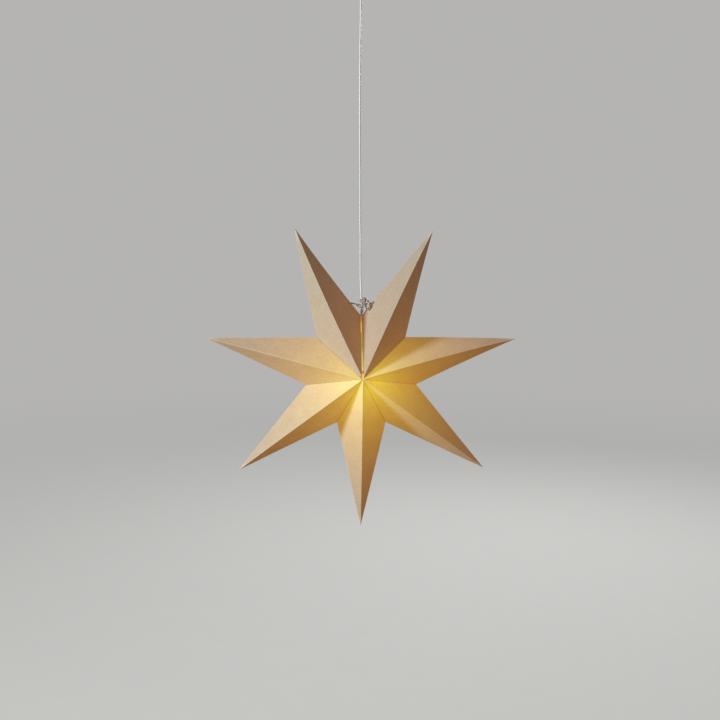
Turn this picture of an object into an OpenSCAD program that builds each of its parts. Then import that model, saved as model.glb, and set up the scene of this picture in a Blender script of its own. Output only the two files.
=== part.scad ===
// Seven-point advent star folded from kraft card, lit from inside by a small bulb
// and hung on its own flat lead from a ceiling fitting.
// Millimetres. Z is up, the ceiling is the plane z = 0 and the star's front faces -Y.

/* [Star] */
// diameter of the circle through the seven tips
star_d = 600; // [500:10:700]
// front apex to back apex
star_depth = 180; // [150:5:220]
// radius of the inner corners as a share of the tip radius
valley_share = 0.357; // [0.34:0.005:0.38]
// thickness of the card
card_t = 0.4; // [0.3:0.05:0.6]
// width of the glue tabs that turn in along the valleys
tab_w = 9; // [7:0.5:11]
// width of the glue flap inside each back ridge
flap_w = 9; // [6:0.5:12]
// open slit between the two top points
seam_gap = 3.6; // [3.5:0.1:5]

/* [Hanging] */
// ceiling down to the middle of the star
hang_drop = 770; // [740:10:900]
// narrow side of the flat lead
lead_thin = 3.2; // [2.8:0.1:3.2]
// wide side of the flat lead
lead_wide = 5.4; // [5:0.1:5.4]
// diameter of the tie string
string_d = 2; // [1.6:0.1:2.2]

/* [Lamp] */
// top of the lamp holder above the middle of the star
holder_top = 60; // [50:1:66]
// outside diameter of the lamp holder
holder_d = 28; // [27:0.5:32]
// diameter of the bulb's globe
bulb_d = 45; // [40:1:50]

/* [Ceiling fitting] */
// outside diameter of the ceiling cup
cup_d = 90; // [88:1:110]
// height of the ceiling cup
cup_h = 50; // [48:1:56]
// distance between the two ceiling screws
screw_spacing = 66; // [64:1:68]

/* [Hidden] */
$fn = 64;

// star geometry: a point's own frame has Z from the star's middle to the tip and Y to the back
half_step = 180 / 7;
tip_r = star_d / 2;
half_depth = star_depth / 2;
valley_r = tip_r * valley_share;
// half width and half depth of a point for each millimetre below its tip
side_slope = valley_r * sin(half_step) / (tip_r - valley_r * cos(half_step));
ridge_slope = half_depth / tip_r;
// how far a panel plane moves along the point's axis for each millimetre of thickness
axis_per_t = sqrt(1 / pow(side_slope, 2) + 1 / pow(ridge_slope, 2) + 1);
ridge_len = norm([half_depth, tip_r]);
// tab width across a valley edge, turned into a shift of the panel planes along the axis
tab_shift = tab_w / (ridge_slope * cos(atan(half_depth / valley_r)));
// the tabs are cut back around the middle, where fourteen of them would meet
hub_r = 6;

// tie holes: distance up the side fold from the top corner, inward from the fold, and size
tie_up = 34;
tie_in = 3;
tie_hole_r = 1.5;
side_fold = [-valley_r * sin(half_step), tip_r - valley_r * cos(half_step)];
side_dir = side_fold / norm(side_fold);
tie_local = [
    valley_r * sin(half_step) + side_dir[0] * tie_up - side_dir[1] * tie_in,
    valley_r * cos(half_step) + side_dir[1] * tie_up + side_dir[0] * tie_in
];
// the same hole in the star's frame, on the right-hand side of the seam
tie_x = -tie_local[0] * cos(half_step) + tie_local[1] * sin(half_step);
tie_z = tie_local[0] * sin(half_step) + tie_local[1] * cos(half_step);

// lamp holder levels below holder_top, and radii
cap_len = 20;
neck_len = 6;
core_z = 24;
core_len = 10;
holder_len = 56;
holder_wall = 1.6;
lead_bore_r = 3;
neck_r = holder_d / 2 - holder_wall;
core_r = neck_r - holder_wall - 0.1;
skirt_bore_r = core_r - 1.6;
// small screw base: pitch, crest and root radii of the bulb's thread, and the running gap
pitch = 2.8;
crest_r = 6.9;
root_r = 6.3;
thread_gap = 0.15;
thread_turns = 5;
contact_z = core_z + core_len + 4.5;
bulb_skirt_z = contact_z + 24;
// tapered sleeve that keeps the lead from kinking where it enters the cap
sleeve_len = 20;
sleeve_r = 5.5;
sleeve_wall = 1.1;
collar_z = 4;
// wiring holes in the insulating insert
wire_hole_r = 1.6;
wire_hole_y = 8;

// ceiling fitting
cup_wall = 2;
bar_t = 1.5;
bar_w = 16;
bar_drop = 30;
bar_len = screw_spacing + 14;
bar_inner_x = screw_spacing / 2 - 7.5;
screw_r = 2.3;
nut_h = 4;
nut_r = 8;
tube_r = 5;
tube_bore_r = 3.5;
tube_top = bar_drop - nut_h + 1;
thread_len = 8;
grip_len = 24;
grip_body = 12.5;
grip_screw_z = 10.3;
grip_screw_r = 1.5;
grip_head_r = 2.2;
grip_head_h = 2;
grip_r = 9;
fit_gap = 0.1;
block_size = [12, 18, 12];
pole_y = [5, 13];
pole_r = 2;
block_x = bar_inner_x - block_size[0];
block_top = 6;

// the lead's route from the terminal block down to the lamp holder, heights from the ceiling
lead_route = [
    [block_x, 0, -12], [11, 0, -12], [6.5, 0, -13.5], [3, 0, -16.5], [0.8, 0, -20.5],
    [0, 0, -25.5], [0, 0, -34], [0, 0, -47], [0, 0, -60], [0, 0, -75], [-0.5, 0, -90], [-1, 0, -105],
    [-1, 0, -120], [-1.5, 0, -135], [-1.5, 0, -150], [-2, 0, -165], [-2, 0, -180],
    [-2, 0, -195], [-2.5, 0, -210], [-2.5, 0, -225], [-2.5, 0, -240], [-2.5, 0, -255],
    [-2.5, 0, -270], [-2.5, 0, -285], [-2.5, 0, -300], [-2.5, 0, -315], [-2.5, 0, -330],
    [-2.5, 0, -345], [-2.5, 0, -360], [-2.5, 0, -375], [-2, 0, -390], [-2, 0, -405],
    [-2, 0, -420], [-2, 0, -435], [-2, 0, -450], [-2, 0, -465], [-2, 0, -480],
    [-2, 0, -495], [-1.5, 0, -510], [-1.5, 0, -525], [-1.5, 0, -540], [-1.5, 0, -555],
    [-1.5, 0, -570], [-1.5, 0, -585], [-1, 0, -600], [-0.5, 0, -615]
];
// below the last hand-set point the lead runs straight down the star's axis
lead_end_z = holder_top - core_z - hang_drop;
lead_tail = [for (z = [-630 : -14 : lead_end_z + 6]) [0, 0, z]];
lead_path = concat(lead_route, lead_tail, [[0, 0, lead_end_z]]);

// sheet points

// four-sided cone of one point, its tip pushed down the axis by shift
module point_cone(shift) {
    d = tip_r - shift + 1;
    polyhedron(
        points = [
            [side_slope * d, 0, -1], [0, ridge_slope * d, -1],
            [-side_slope * d, 0, -1], [0, -ridge_slope * d, -1],
            [0, 0, tip_r - shift]
        ],
        faces = [[0, 1, 2, 3], [1, 0, 4], [2, 1, 4], [3, 2, 4], [0, 3, 4]]
    );
}

// sector between the two valley planes, each plane moved in by its own amount
module sector(left_in, right_in) {
    corner = [
        (left_in - right_in) / (2 * cos(half_step)),
        (left_in + right_in) / (2 * sin(half_step))
    ];
    reach = 2 * tip_r;
    rotate([90, 0, 0])
        linear_extrude(star_depth + 4, center = true)
            polygon([
                corner,
                corner + reach * [-sin(half_step), cos(half_step)],
                corner + reach * [sin(half_step), cos(half_step)]
            ]);
}

// strip glued inside the right-hand panel along the back ridge
module glue_flap() {
    root = 1.25 * card_t;
    along = [0, half_depth, -tip_r] / ridge_len;
    inward = -[1 / side_slope, 1 / ridge_slope, 1] / axis_per_t;
    across = cross(inward, along);
    multmatrix([
        [along[0], across[0], inward[0], 0],
        [along[1], across[1], inward[1], 0],
        [along[2], across[2], inward[2], tip_r],
        [0, 0, 0, 1]
    ])
        translate([0, 0, 0.9 * card_t])
            linear_extrude(1.1 * card_t)
                polygon([
                    [0.10 * ridge_len, root], [0.15 * ridge_len, flap_w],
                    [0.88 * ridge_len, flap_w], [0.92 * ridge_len, root]
                ]);
}

// one folded point; a side that borders the open seam is moved in by half its gap
module folded_point(seam_left = false, seam_right = false) {
    left_in = seam_left ? seam_gap / 2 : 0;
    right_in = seam_right ? seam_gap / 2 : 0;
    inner = card_t * axis_per_t;
    difference() {
        union() {
            difference() {
                intersection() {
                    point_cone(0);
                    sector(left_in, right_in);
                }
                intersection() {
                    point_cone(inner);
                    sector(left_in + card_t, right_in + card_t);
                }
            }
            glue_flap();
        }
        intersection() {
            point_cone(tab_shift);
            sector(left_in - 1, right_in - 1);
        }
        intersection() {
            point_cone(inner);
            rotate([90, 0, 0]) cylinder(h = star_depth, r = hub_r, center = true);
        }
        if (seam_left) tie_hole(-1);
        if (seam_right) tie_hole(1);
    }
}

// hole punched through both layers beside a side fold
module tie_hole(side) {
    translate([side * tie_local[0], 0, tie_local[1]])
        rotate([90, 0, 0])
            cylinder(h = star_depth, r = tie_hole_r, center = true);
}

// points are counted from the bottom one, clockwise as seen from the front
module placed_point(index, seam_left = false, seam_right = false) {
    color([0.86, 0.73, 0.55])
        translate([0, 0, -hang_drop])
            rotate([0, 180 + index * 2 * half_step, 0])
                folded_point(seam_left, seam_right);
}

module point_bottom() { placed_point(0); }
module point_low_left() { placed_point(1); }
module point_left() { placed_point(2); }
module point_top_left() { placed_point(3, seam_right = true); }
module point_top_right() { placed_point(4, seam_left = true); }
module point_right() { placed_point(5); }
module point_low_right() { placed_point(6); }

// cords

// tube with an oval section swept along a route that stays clear of the direction "level"
module swept_tube(route, half_a, half_b, level, sides = 8, closed = false) {
    n = len(route);
    rings = [
        for (i = [0 : n - 1])
            let (
                before = closed ? route[(i + n - 1) % n] : route[max(i - 1, 0)],
                after = closed ? route[(i + 1) % n] : route[min(i + 1, n - 1)],
                along = (after - before) / norm(after - before),
                flat = cross(level, along) / norm(cross(level, along)),
                rise = cross(along, flat)
            )
            for (s = [0 : sides - 1])
                route[i]
                    + flat * half_a * cos(s * 360 / sides + 180 / sides) / cos(180 / sides)
                    + rise * half_b * sin(s * 360 / sides + 180 / sides) / cos(180 / sides)
    ];
    last = closed ? n - 1 : n - 2;
    walls = [
        for (i = [0 : last])
            for (s = [0 : sides - 1])
                let (
                    a = i * sides,
                    b = ((i + 1) % n) * sides,
                    t = (s + 1) % sides
                )
                [a + s, b + s, b + t, a + t]
    ];
    ends = closed ? [] : [
        [for (s = [0 : sides - 1]) s],
        [for (s = [sides - 1 : -1 : 0]) (n - 1) * sides + s]
    ];
    polyhedron(points = rings, faces = concat(walls, ends), convexity = 6);
}

module lead() {
    color([0.93, 0.93, 0.92])
        swept_tube(lead_path, lead_thin / 2, lead_wide / 2, [0, 1, 0]);
}

// string through both tie holes and round the lead, knotted in front of it
module tie_string() {
    r = string_d / 2;
    // distance from the lead's axis to a strand that lies on its wide side
    past = lead_wide / 2 + r + 0.05;
    // how far the strand stands out where it turns into a tie hole
    over = tie_in * half_depth / (valley_r * sin(half_step)) * sin(half_step) + r + 2.2;
    half_band = [
        [0, past, 0], [6, past + 0.6, 0], [12, past + 1.6, 0.5],
        [tie_x - 5, over - 0.6, 0.5], [tie_x - 2, over, 0.2], [tie_x - 0.4, over - 1, 0]
    ];
    band = concat(
        [for (p = half_band) [p[0], -p[1], p[2]]],
        [[tie_x, -2, 0], [tie_x, 2, 0]],
        [for (i = [len(half_band) - 1 : -1 : 0]) [half_band[i][0], half_band[i][1], half_band[i][2]]],
        [for (i = [1 : len(half_band) - 1]) [-half_band[i][0], half_band[i][1], half_band[i][2]]],
        [[-tie_x, 2, 0], [-tie_x, -2, 0]],
        [for (i = [len(half_band) - 1 : -1 : 1]) [-half_band[i][0], -half_band[i][1], half_band[i][2]]]
    );
    front = -past;
    color([0.45, 0.38, 0.34])
        translate([0, 0, tie_z - hang_drop]) {
            swept_tube(band, r, r, [0, 0, 1], closed = true);
            translate([1, front - 1, 0]) {
                // knot: two turns crossing in front of the band
                swept_tube(
                    [[-2.5, -0.5, -4], [-1, -1.6, -2], [0.5, -2, 0], [2, -1.6, 2.5], [3, -0.5, 4.5]],
                    2, 1.5, [0, 1, 0]
                );
                swept_tube(
                    [[-3.5, -1, 3], [-1.5, -2, 1.5], [0.5, -2.6, 0], [2.5, -2, -1.5], [4, -1, -3]],
                    1.9, 1.4, [0, 1, 0]
                );
                // hanging loop on the right
                swept_tube(
                    [
                        [3, -2, -1], [4, -2.4, -4], [4.6, -2.6, -7.5], [6, -2.6, -10.5],
                        [9, -2.4, -12], [12, -2.2, -11], [14, -2, -8], [14.2, -1.8, -4.5],
                        [12.5, -1.6, -1.5], [9, -1.6, 0.6], [5, -1.8, 1], [2, -2, 0.5]
                    ],
                    r, r * 0.7, [0, 1, 0]
                );
                // short end upward beside the lead
                swept_tube(
                    [[1.5, -2, 1], [3.2, -2.2, 4], [4.6, -2, 7], [5.2, -1.6, 10]],
                    r * 0.9, r * 0.6, [0, 1, 0]
                );
                // longer end lying out to the left and down
                swept_tube(
                    [
                        [-1.5, -2, 0], [-5, -2.6, 1], [-9, -3, 0.6], [-13, -3.4, -1],
                        [-16.5, -3.8, -3.5], [-19, -4.4, -7], [-20, -5, -11]
                    ],
                    r * 0.9, r * 0.6, [0, 1, 0]
                );
            }
        }
}

// lamp holder and bulb, heights measured down from the holder's top

module at_holder() {
    translate([0, 0, holder_top - hang_drop]) children();
}

module holder_cap() {
    r = holder_d / 2;
    color([0.95, 0.95, 0.93])
        at_holder()
            rotate_extrude()
                polygon([
                    [lead_bore_r, sleeve_len - collar_z], [lead_bore_r + sleeve_wall, sleeve_len - collar_z],
                    [sleeve_r, -collar_z], [8, -collar_z - 1], [r - 2.5, -8],
                    [r - 0.8, -11], [r, -15], [r, -cap_len],
                    [neck_r + fit_gap, -cap_len], [neck_r + fit_gap, -cap_len + neck_len],
                    [neck_r - 1, -11.5], [8, -7], [lead_bore_r, -6]
                ]);
}

module holder_shell() {
    r = holder_d / 2;
    shoulder = core_z + core_len;
    color([0.95, 0.95, 0.93])
        at_holder()
            rotate_extrude()
                polygon([
                    [neck_r, -cap_len + neck_len - 0.2], [neck_r, -cap_len], [r, -cap_len],
                    [r, -holder_len + 1.5], [r - 1, -holder_len],
                    [skirt_bore_r, -holder_len], [skirt_bore_r, -shoulder],
                    [core_r + fit_gap, -shoulder], [core_r + fit_gap, -cap_len + neck_len - 0.2]
                ]);
}

// insulating insert that carries both contacts
module holder_core() {
    color([0.90, 0.89, 0.85])
        at_holder()
            difference() {
                translate([0, 0, -core_z - core_len]) cylinder(h = core_len, r = core_r);
                for (side = [-1, 1])
                    translate([0, side * wire_hole_y, -core_z - 6]) cylinder(h = 7, r = wire_hole_r);
            }
}

// corrugated screw shell; the offsets turn the bulb's profile into a clear mating one
module thread_shell() {
    top = core_z + core_len;
    start = contact_z + 5;
    color([0.80, 0.66, 0.36])
        at_holder()
            rotate_extrude()
                polygon(concat(
                    [[crest_r + 2, -top], [crest_r + 2, -top - 0.6], [crest_r + 0.9, -top - 0.6]],
                    [[crest_r + 0.9, -start - thread_turns * pitch - 1]],
                    [[crest_r + thread_gap, -start - thread_turns * pitch - 1]],
                    [for (i = [thread_turns - 1 : -1 : 0]) each [
                        [crest_r + thread_gap, -start - (i + 0.75) * pitch],
                        [root_r + thread_gap, -start - (i + 0.25) * pitch]
                    ]],
                    [[crest_r + thread_gap, -start + 1], [crest_r + thread_gap, -top]]
                ));
}

module centre_contact() {
    top = core_z + core_len;
    color([0.78, 0.60, 0.34])
        at_holder()
            translate([0, 2, 0])
                rotate([90, 0, 0])
                    linear_extrude(4)
                        polygon([
                            [-4, -top], [4, -top], [4, -top - 0.4], [-2.4, -top - 0.4],
                            [-1.4, -contact_z + 0.4], [2, -contact_z + 0.4],
                            [2, -contact_z], [-1.8, -contact_z], [-3.2, -top - 0.4],
                            [-4, -top - 0.4]
                        ]);
}

module bulb_cap() {
    start = contact_z + 5;
    color([0.80, 0.68, 0.42])
        at_holder()
            rotate_extrude()
                polygon(concat(
                    [[0, -contact_z], [2, -contact_z], [2.6, -contact_z - 1], [2.6, -contact_z - 1.5],
                        [root_r - 0.8, -start + 0.4]],
                    [for (i = [0 : thread_turns - 1]) each [
                        [root_r, -start - (i + 0.25) * pitch],
                        [crest_r, -start - (i + 0.75) * pitch]
                    ]],
                    [[root_r, -start - (thread_turns + 0.25) * pitch], [7.2, -bulb_skirt_z],
                        [6.6, -bulb_skirt_z], [6.6, -bulb_skirt_z + 3], [0, -bulb_skirt_z + 3]]
                ));
}

module bulb_glass() {
    wall = 0.8;
    neck = 6.5;
    globe_r = bulb_d / 2;
    globe_z = bulb_skirt_z + globe_r + 7;
    // the neck curve meets the globe 50 degrees below its top
    join = 50;
    outer = concat(
        [[neck, -bulb_skirt_z + 3], [neck, -bulb_skirt_z - 1], [neck + 2, -bulb_skirt_z - 5]],
        [for (a = [join : 10 : 180]) [globe_r * sin(a), -globe_z + globe_r * cos(a)]]
    );
    inner = concat(
        [for (a = [180 : -10 : join]) [(globe_r - wall) * sin(a), -globe_z + (globe_r - wall) * cos(a)]],
        [[neck + 2 - wall, -bulb_skirt_z - 5.4], [neck - wall, -bulb_skirt_z - 1],
            [neck - wall, -bulb_skirt_z + 3]]
    );
    color([1.0, 0.93, 0.78, 0.7])
        at_holder()
            rotate_extrude()
                polygon(concat(outer, inner));
}

// ceiling fitting

module ceiling_bar() {
    out_x = bar_inner_x + bar_t;
    color([0.72, 0.73, 0.74])
        difference() {
            translate([0, bar_w / 2, 0])
                rotate([90, 0, 0])
                    linear_extrude(bar_w)
                        polygon([
                            [-bar_len / 2, 0], [-bar_inner_x, 0], [-bar_inner_x, -bar_drop],
                            [bar_inner_x, -bar_drop], [bar_inner_x, 0], [bar_len / 2, 0],
                            [bar_len / 2, -bar_t], [out_x, -bar_t], [out_x, -bar_drop - bar_t],
                            [-out_x, -bar_drop - bar_t], [-out_x, -bar_t],
                            [-bar_len / 2, -bar_t]
                        ]);
            for (side = [-1, 1])
                translate([side * screw_spacing / 2, 0, -bar_t - 1])
                    cylinder(h = bar_t + 2, r = screw_r);
            translate([0, 0, -bar_drop - bar_t - 1])
                cylinder(h = bar_t + 2, r = tube_r + fit_gap);
        }
}

module hanger_tube() {
    color([0.80, 0.80, 0.80])
        difference() {
            translate([0, 0, -cup_h - thread_len])
                cylinder(h = cup_h + thread_len - tube_top, r = tube_r);
            translate([0, 0, -cup_h - thread_len - 1])
                cylinder(h = cup_h + thread_len + 2, r = tube_bore_r);
        }
}

module tube_nut() {
    color([0.76, 0.76, 0.77])
        difference() {
            translate([0, 0, -bar_drop]) cylinder(h = nut_h, r = nut_r, $fn = 6);
            translate([0, 0, -bar_drop - 1]) cylinder(h = nut_h + 2, r = tube_r + 0.05);
        }
}

module ceiling_cup() {
    r = cup_d / 2;
    color([0.95, 0.95, 0.93])
        rotate_extrude()
            polygon([
                [r, 0], [r, -cup_h + 12], [r - 2, -cup_h + 5], [r - 7, -cup_h + 1],
                [r - 12, -cup_h], [tube_r + fit_gap, -cup_h],
                [tube_r + fit_gap, -cup_h + cup_wall], [r - 12, -cup_h + cup_wall],
                [r - 8, -cup_h + cup_wall + 1], [r - 2 - cup_wall, -cup_h + 6],
                [r - cup_wall, -cup_h + 12], [r - cup_wall, 0]
            ]);
}

// screws onto the tube below the cup and tapers down round the lead
module cord_grip() {
    color([0.95, 0.95, 0.93])
        difference() {
            translate([0, 0, -cup_h])
                rotate_extrude()
                    polygon([
                        [tube_r + 0.05, 0], [grip_r, 0], [grip_r, -grip_body],
                        [lead_bore_r + sleeve_wall, -grip_len], [lead_bore_r, -grip_len],
                        [lead_bore_r, -thread_len], [tube_r + 0.05, -thread_len]
                    ]);
            translate([lead_thin / 2, 0, -cup_h - grip_screw_z])
                rotate([0, 90, 0])
                    cylinder(h = grip_r, r = grip_screw_r + 0.05);
        }
}

// side screw that clamps the lead in the grip
module grip_screw() {
    shank = grip_r - lead_thin / 2;
    color([0.92, 0.92, 0.90])
        translate([lead_thin / 2 + 0.05, 0, -cup_h - grip_screw_z])
            rotate([0, 90, 0]) {
                cylinder(h = shank, r = grip_screw_r);
                translate([0, 0, shank]) cylinder(h = grip_head_h, r = grip_head_r);
            }
}

// two-pole terminal block fixed to the inside of the bar's right-hand leg
module terminal_block() {
    color([0.93, 0.93, 0.90])
        translate([block_x, -block_size[1] / 2, -block_top - block_size[2]])
            difference() {
                cube(block_size);
                for (y = pole_y)
                    translate([block_size[0] / 2, y, block_size[2] - 5])
                        cylinder(h = 6, r = pole_r);
            }
}

point_bottom();
point_low_left();
point_left();
point_top_left();
point_top_right();
point_right();
point_low_right();
tie_string();
lead();
holder_cap();
holder_shell();
holder_core();
thread_shell();
centre_contact();
bulb_cap();
bulb_glass();
ceiling_bar();
hanger_tube();
tube_nut();
ceiling_cup();
cord_grip();
grip_screw();
terminal_block();
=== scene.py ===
"""Folded card advent star with its bulb, flat lead and ceiling fitting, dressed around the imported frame.

All sizes are metres unless a name or comment says otherwise, and the front of the star faces -Y.
"""
import math

import bpy
import numpy as np
from bpy.props import FloatProperty, FloatVectorProperty, IntProperty, PointerProperty
from mathutils import Matrix, Vector


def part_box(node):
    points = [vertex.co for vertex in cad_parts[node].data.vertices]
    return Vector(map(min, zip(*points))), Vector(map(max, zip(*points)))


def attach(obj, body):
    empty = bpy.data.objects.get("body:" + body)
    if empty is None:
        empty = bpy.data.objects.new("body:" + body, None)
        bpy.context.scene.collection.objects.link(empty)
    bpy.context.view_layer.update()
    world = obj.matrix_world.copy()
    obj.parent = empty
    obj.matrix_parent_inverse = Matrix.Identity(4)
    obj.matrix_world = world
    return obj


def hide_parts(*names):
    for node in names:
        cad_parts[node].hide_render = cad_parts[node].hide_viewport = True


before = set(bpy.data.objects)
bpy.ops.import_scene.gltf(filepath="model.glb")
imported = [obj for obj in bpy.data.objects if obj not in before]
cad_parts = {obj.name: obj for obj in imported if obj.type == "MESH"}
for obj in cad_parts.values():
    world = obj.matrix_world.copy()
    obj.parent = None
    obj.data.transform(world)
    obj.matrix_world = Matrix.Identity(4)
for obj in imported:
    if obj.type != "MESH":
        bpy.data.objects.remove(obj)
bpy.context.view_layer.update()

bl_info = {
    "name": "Folded advent star",
    "version": (1, 0, 0),
    "blender": (4, 5, 0),
    "location": "View3D > Sidebar > Advent star",
    "description": "Builds a seven-point folded card star with its lamp, lead and ceiling fitting",
    "category": "Add Mesh",
}

MM = 0.001
POINTS = (
    "point_bottom", "point_low_left", "point_left", "point_top_left",
    "point_top_right", "point_right", "point_low_right",
)
# how far each tip hangs clockwise of its even place
LEAN = (0.0015, -0.0010, 0.0, 0.0060, 0.0050, 0.0040, -0.0005)
HALF_STEP = math.pi / len(POINTS)
BOTTOM_LO, BOTTOM_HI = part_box("point_bottom")
BULB_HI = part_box("bulb_glass")[1]
STAR_Z = BOTTOM_HI.z
SEAM_GAP = -2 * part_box("point_top_left")[1].x
LEAD_END_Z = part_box("holder_core")[1].z
SAME_POINT = 1e-8  # points closer than this are one


# mesh helpers


def weld(points, quads):
    """Equal points become one, and a quad that has lost a corner becomes a triangle or goes."""
    cells = np.round(points / SAME_POINT).astype(np.int64)
    _, first, index = np.unique(cells, axis=0, return_index=True, return_inverse=True)
    quads = index.reshape(-1)[quads]
    same = quads == np.roll(quads, -1, axis=1)
    lost = same.sum(axis=1)
    faces = quads[lost == 0].tolist()
    origin = np.flatnonzero(lost == 0)
    for i in range(4):
        chosen = np.flatnonzero((lost == 1) & same[:, i])
        faces += quads[chosen][:, [(i + 1) % 4, (i + 2) % 4, (i + 3) % 4]].tolist()
        origin = np.concatenate([origin, chosen])
    return first, faces, origin


def grid_quads(rows, cols, close_rows=False, close_cols=False):
    """Quads of a grid of rows x cols points, joined end to start where asked."""
    r = np.arange(rows if close_rows else rows - 1)[:, None]
    c = np.arange(cols if close_cols else cols - 1)[None, :]
    r2, c2 = (r + 1) % rows, (c + 1) % cols
    return np.stack([r * cols + c, r * cols + c2, r2 * cols + c2, r2 * cols + c], axis=-1).reshape(-1, 4)


def outward(points, quads):
    """The quads turned so that the shell's volume, the sum of a.(b x c)/6 over its triangles, is positive."""
    a, b, c, d = (points[quads[:, i]] for i in range(4))
    volume = (np.cross(a, b) * c).sum() + (np.cross(a, c) * d).sum()
    return quads if volume > 0 else quads[:, ::-1]


def add_piece(name, shells, materials, replaced, smooth=True, face_slots=None):
    """One mesh from closed shells. A shell is (points, quads, {attribute: values per point})."""
    points = np.concatenate([s[0] for s in shells])
    start = np.cumsum([0] + [len(s[0]) for s in shells])
    quads = np.concatenate([outward(s[0] - s[0].mean(axis=0), s[1]) + n for s, n in zip(shells, start)])
    first, faces, origin = weld(points, quads)
    mesh = bpy.data.meshes.new(name)
    mesh.from_pydata(points[first].tolist(), [], faces)
    for key in shells[0][2]:
        values = np.concatenate([s[2][key] for s in shells])[first].astype(np.float32)
        kind, field = ("FLOAT_VECTOR", "vector") if values.ndim == 2 else ("FLOAT", "value")
        mesh.attributes.new(key, kind, "POINT").data.foreach_set(field, values.ravel())
    for material in materials:
        mesh.materials.append(material)
    if face_slots is not None:
        mesh.polygons.foreach_set("material_index", face_slots[origin].astype(np.int32))
    mesh.polygons.foreach_set("use_smooth", np.full(len(faces), smooth))
    mesh.update()
    if mesh.validate(verbose=False):
        raise RuntimeError(f"{name}: the mesh had faces that Blender had to mend")
    piece = bpy.data.objects.new(name, mesh)
    bpy.context.scene.collection.objects.link(piece)
    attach(piece, "root")
    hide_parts(*replaced)
    return piece


def smoothstep(low, high, x):
    """3t^2 - 2t^3 of the place of x between low and high."""
    t = np.clip((x - low) / (high - low), 0, 1)
    return t * t * (3 - 2 * t)


# material helpers


class Wire:
    """A shader output that takes part in arithmetic. Each operation adds one Math node."""

    def __init__(self, finish, socket):
        self.finish, self.socket = finish, socket

    def math(self, operation, *values):
        """One Math node over the values. The wire itself takes part only where it is one of them."""
        return self.finish.node("ShaderNodeMath", {"operation": operation}, dict(enumerate(values)))

    def __add__(self, other):
        return self.math("ADD", self, other)

    def __radd__(self, other):
        return self.math("ADD", other, self)

    def __rsub__(self, other):
        return self.math("SUBTRACT", other, self)

    def __mul__(self, other):
        return self.math("MULTIPLY", self, other)

    def __rmul__(self, other):
        return self.math("MULTIPLY", other, self)

    def step(self, low, high):
        """0 below low, 1 above high, smooth between."""
        return self.finish.node(
            "ShaderNodeMapRange", {"interpolation_type": "SMOOTHSTEP"},
            {"Value": self, "From Min": low, "From Max": high, "To Min": 0.0, "To Max": 1.0},
        )


class Finish:
    """A node material round one Principled shader."""

    def __init__(self, name, **sockets):
        self.material = bpy.data.materials.new(name)
        self.material.use_nodes = True
        self.tree = self.material.node_tree
        self.shader = self.tree.nodes["Principled BSDF"]
        self.set(**{"Specular_IOR_Level": 0.4, **sockets})

    def set(self, **sockets):
        for name, value in sockets.items():
            self.feed(self.shader.inputs[name.replace("_", " ")], value)

    def feed(self, socket, value):
        if isinstance(value, Wire):
            self.tree.links.new(value.socket, socket)
        elif hasattr(value, "__len__") and not isinstance(value, str):
            value = list(value)
            socket.default_value = value + [1.0] if len(value) == 3 and socket.type == "RGBA" else value
        else:
            socket.default_value = value

    def node(self, kind, settings=None, sockets=None, out=0):
        node = self.tree.nodes.new(kind)
        for name, value in (settings or {}).items():
            setattr(node, name, value)
        for name, value in (sockets or {}).items():
            self.feed(node.inputs[name], value)
        return Wire(self, node.outputs[out])

    def place(self):
        return self.node("ShaderNodeTexCoord", out="Object")

    def attribute(self, name, out="Fac"):
        return self.node("ShaderNodeAttribute", {"attribute_name": name}, out=out)

    def noise(self, scale, detail=3.0, roughness=0.5, vector=None, stretch=None):
        vector = vector or self.place()
        if stretch:
            vector = self.node("ShaderNodeVectorMath", {"operation": "MULTIPLY"}, {0: vector, 1: stretch})
        sockets = {"Vector": vector, "Scale": scale, "Detail": detail, "Roughness": roughness}
        return self.node("ShaderNodeTexNoise", None, sockets)

    def mix(self, share, a, b, blend="MIX"):
        """Colour a where share is 0 and b where it is 1. Sockets 6, 7 and 2 are the node's colours."""
        settings = {"data_type": "RGBA", "blend_type": blend}
        return self.node("ShaderNodeMix", settings, {0: share, 6: a, 7: b}, out=2)

    def scaled(self, tint, amount):
        """A colour times a number."""
        return self.node("ShaderNodeVectorMath", {"operation": "SCALE"}, {0: tint, "Scale": amount})

    def bump(self, height, distance, strength=1.0):
        """Relief of the given height in metres where height runs from 0 to 1."""
        sockets = {"Height": height, "Distance": distance, "Strength": strength}
        self.set(Normal=self.node("ShaderNodeBump", None, sockets))


def toned(tint, factors):
    """A colour with each channel times its factor."""
    return tuple(c * k for c, k in zip(tint, factors))


# settings


def length(name, description, default):
    return FloatProperty(name=name, description=description, default=default, unit="LENGTH", precision=4)


def colour(name, description, default):
    return FloatVectorProperty(
        name=name, description=description, default=default, subtype="COLOR", size=3, min=0, max=4,
    )


def amount(name, description, default, most):
    return FloatProperty(name=name, description=description, default=default, min=0, max=most)


def slant(name, description, degrees):
    return FloatProperty(name=name, description=description, default=math.radians(degrees), subtype="ANGLE")


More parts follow.
